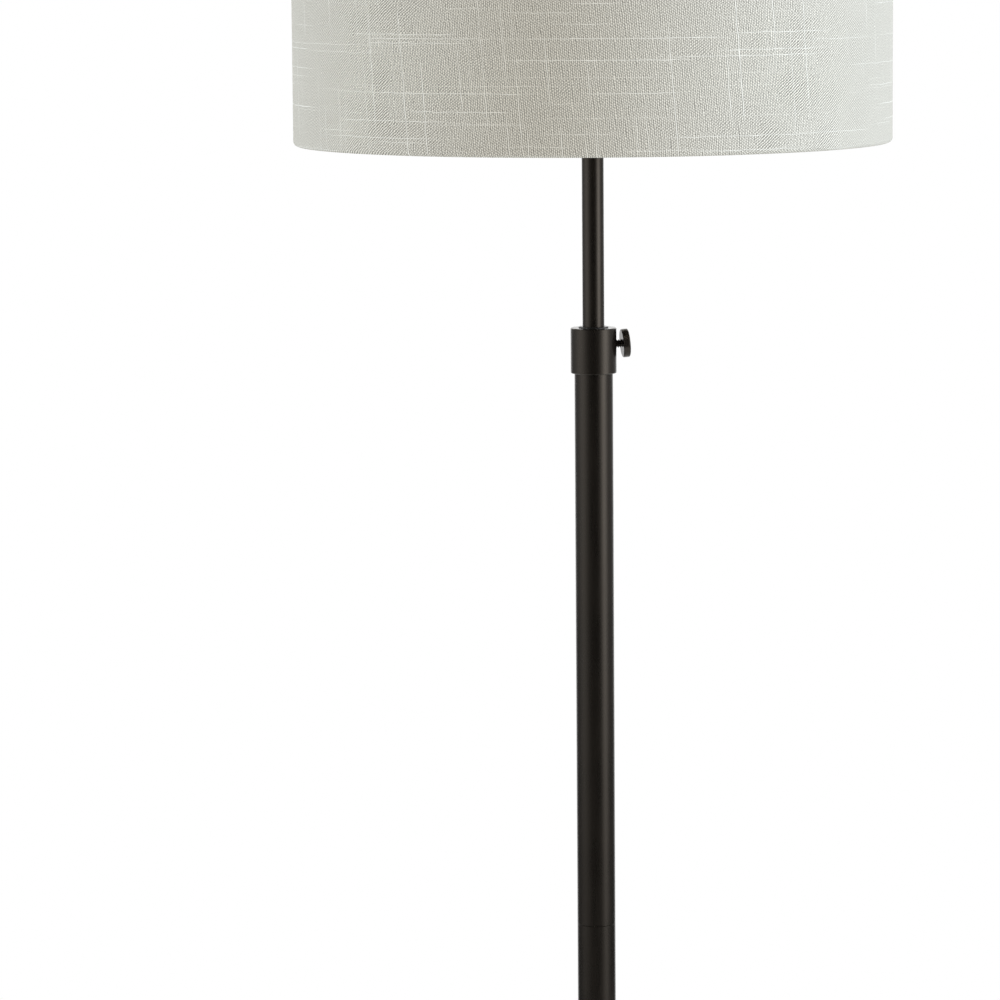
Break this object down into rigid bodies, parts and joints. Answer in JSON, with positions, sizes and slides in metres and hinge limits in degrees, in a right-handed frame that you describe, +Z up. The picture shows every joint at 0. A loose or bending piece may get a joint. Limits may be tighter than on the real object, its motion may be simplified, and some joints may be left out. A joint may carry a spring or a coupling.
{
  "type": "adjustable floor lamp",
  "caption": "Floor lamp with a linen drum shade on a mast that slides in a tube pole and locks with a thumb screw, standing on a weighted round base.",
  "frame": {"origin": "on the floor under the pole's axis, at the centre of the base", "axes": "+Z up along the pole, +X out to the clamp knob's side, +Y to the side where the cord would enter"},
  "size_m": [0.4318, 0.4318, 1.5767],
  "materials": {
    "bronze": "satin dark bronze",
    "linen": "slubbed linen weave",
    "shade_lining": "matt white",
    "shade_wire": "nickel plated",
    "iron": "as cast",
    "felt": "pressed felt",
    "steel": "zinc plated",
    "nylon": "natural",
    "black_plastic": "fine matt",
    "brass": "bright",
    "phenolic": "moulded",
    "card": "waxed card",
    "cap_metal": "rolled",
    "opal_glass": "white coated inside"
  },
  "bodies": {
    "stand": {"base_pad": "felt", "base_cover": "bronze", "base_weight": "iron", "base_washer": "steel", "base_nut": "steel", "base_nipple": "steel", "cord_bushing": "black_plastic", "neck_ring": "bronze", "pole_foot": "steel", "pole_section_lower": "bronze", "pole_section_middle": "bronze", "pole_section_upper": "bronze", "lower_coupling_socket": "steel", "lower_coupling_stud": "steel", "upper_coupling_socket": "steel", "upper_coupling_stud": "steel", "lock_collar": "bronze", "collar_bush": "black_plastic"},
    "guide": {"guide_bush": "nylon"},
    "mast": {"mast_tube": "bronze", "stop_ring": "steel", "cord_grommet": "nylon", "mast_cap": "bronze", "socket_nipple": "steel", "harp_saddle": "bronze", "saddle_nut": "steel", "socket_cap": "bronze", "socket_shell": "bronze", "socket_liner": "card", "socket_body": "phenolic", "screw_shell": "brass", "centre_contact": "brass", "bulb_cap": "cap_metal", "bulb_glass": "opal_glass", "harp": "bronze", "harp_stud": "bronze"},
    "clamp_pad": {"clamp_pad": "nylon"},
    "clamp_screw": {"clamp_screw": "bronze", "clamp_knob": "bronze"},
    "switch_key": {"switch_key": "black_plastic"},
    "harp_sleeve_left": {"harp_sleeve_left": "bronze"},
    "harp_sleeve_right": {"harp_sleeve_right": "bronze"},
    "shade": {"shade_fabric": "linen", "shade_liner": "shade_lining", "shade_bottom_ring": "shade_wire", "shade_spider": "shade_wire"},
    "finial": {"finial": "bronze"}
  },
  "joints": [
    {"name": "height_slide", "type": "slide", "parent": "stand", "child": "guide", "axis": [0, 0, 1], "range_m": [-0.145, 0.16]},
    {"name": "mast_turn", "type": "hinge", "parent": "guide", "child": "mast", "pos_m": [0, 0, 0.913], "axis": [0, 0, 1], "range_deg": [-180, 180]},
    {"name": "clamp_travel", "type": "slide", "parent": "stand", "child": "clamp_pad", "axis": [0.9969, 0, 0.0785], "range_m": [0, 0.003]},
    {"name": "clamp_turn", "type": "hinge", "parent": "clamp_pad", "child": "clamp_screw", "pos_m": [0.02069, 0, 1.17319], "axis": [0.9969, 0, 0.0785], "range_deg": [0, 720]},
    {"name": "key_turn", "type": "hinge", "parent": "mast", "child": "switch_key", "pos_m": [0, -0.02115, 1.3786], "axis": [0, -1, 0], "continuous": true},
    {"name": "sleeve_left_lift", "type": "slide", "parent": "mast", "child": "harp_sleeve_left", "axis": [0, 0, 1], "range_m": [0, 0.016]},
    {"name": "sleeve_right_lift", "type": "slide", "parent": "mast", "child": "harp_sleeve_right", "axis": [0, 0, 1], "range_m": [0, 0.016]},
    {"name": "shade_turn", "type": "hinge", "parent": "mast", "child": "shade", "pos_m": [0, 0, 1.551], "axis": [0, 0, 1], "continuous": true},
    {"name": "finial_turn", "type": "hinge", "parent": "mast", "child": "finial", "pos_m": [0, 0, 1.553], "axis": [0, 0, 1], "continuous": true}
  ],
  "couplings": [
    {"joint": "clamp_turn", "follows": "clamp_travel", "rad_per_m": 4188.8}
  ]
}
